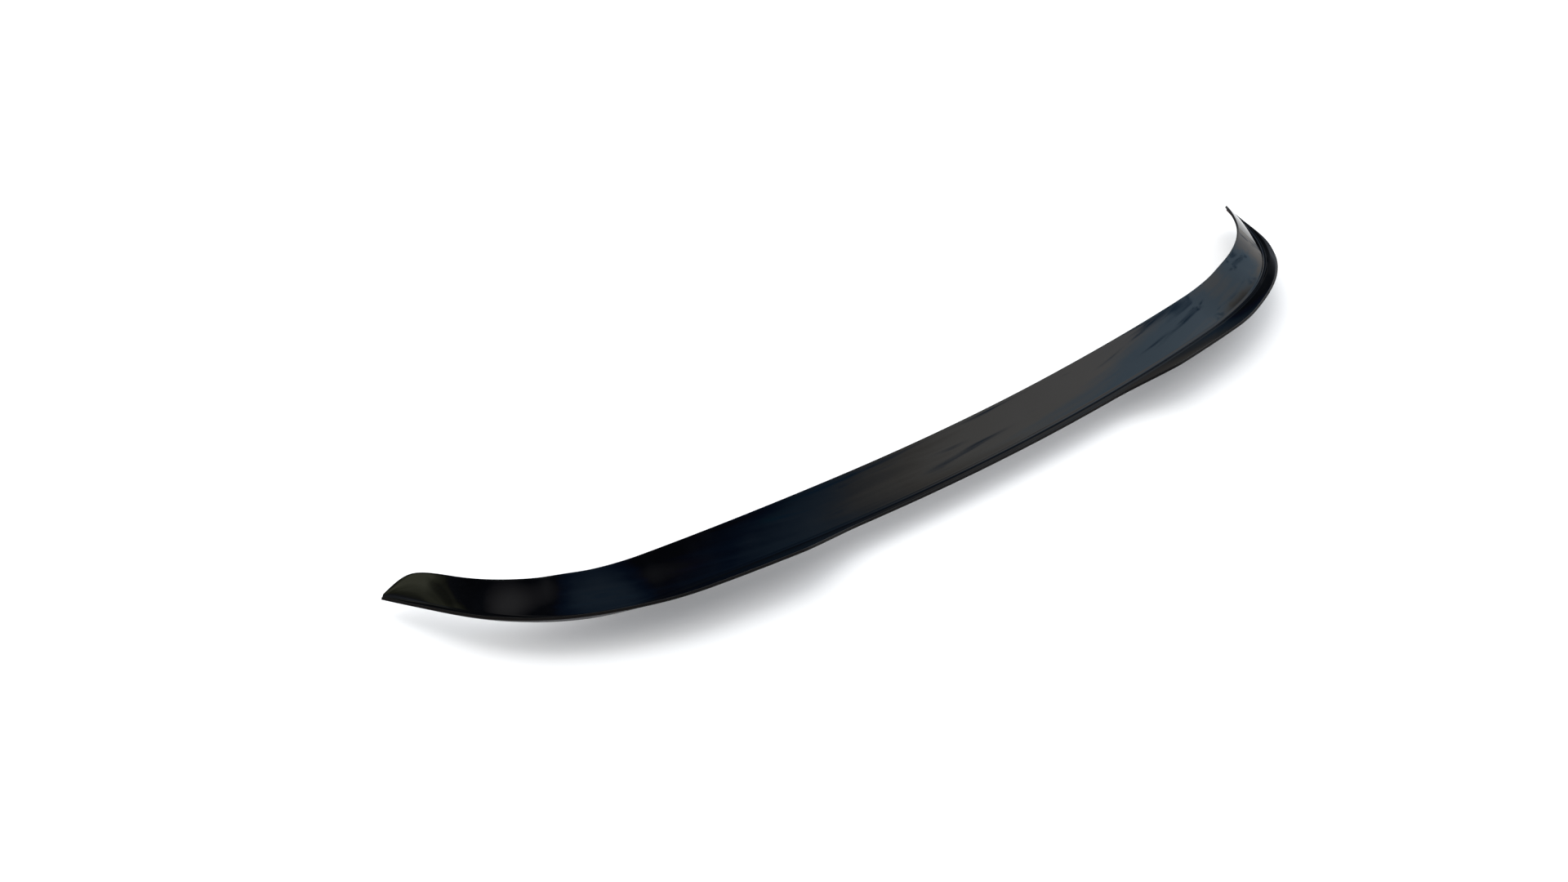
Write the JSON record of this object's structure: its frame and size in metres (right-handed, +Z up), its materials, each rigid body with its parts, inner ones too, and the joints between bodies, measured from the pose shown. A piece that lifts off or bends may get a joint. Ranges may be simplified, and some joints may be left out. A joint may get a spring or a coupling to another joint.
{
  "type": "stick-on rear spoiler cap",
  "caption": "Thin folded gloss black lip that tapes onto the rear edge of a boot lid, with a notched free edge and pointed ends that wrap round the corners.",
  "frame": {"origin": "middle of the bonding face at mid-span", "axes": "+X along the span, +Y forward towards the car, +Z up"},
  "size_m": [1.2006, 0.2238, 0.0367],
  "materials": {
    "gloss_abs": "high gloss, self-coloured black cap layer",
    "matte_abs": "matte, fine grained black sheet",
    "acrylic_foam": "dark grey closed-cell foam",
    "liner_film": "pink satin film"
  },
  "bodies": {
    "cap": {"gloss_skin": "gloss_abs", "shell_core": "matte_abs", "centre_foam_tape": "acrylic_foam", "left_foam_tape": "acrylic_foam", "right_foam_tape": "acrylic_foam"},
    "centre_liner": {"centre_release_liner": "liner_film"},
    "left_liner": {"left_release_liner": "liner_film"},
    "right_liner": {"right_release_liner": "liner_film"}
  },
  "joints": [
    {"name": "centre_liner_peel", "type": "slide", "parent": "cap", "child": "centre_liner", "axis": [0, 0.98, -0.199], "range_m": [0, 0.05]},
    {"name": "left_liner_peel", "type": "slide", "parent": "cap", "child": "left_liner", "axis": [0, 0.98, -0.199], "range_m": [0, 0.05]},
    {"name": "right_liner_peel", "type": "slide", "parent": "cap", "child": "right_liner", "axis": [0, 0.98, -0.199], "range_m": [0, 0.05]}
  ]
}
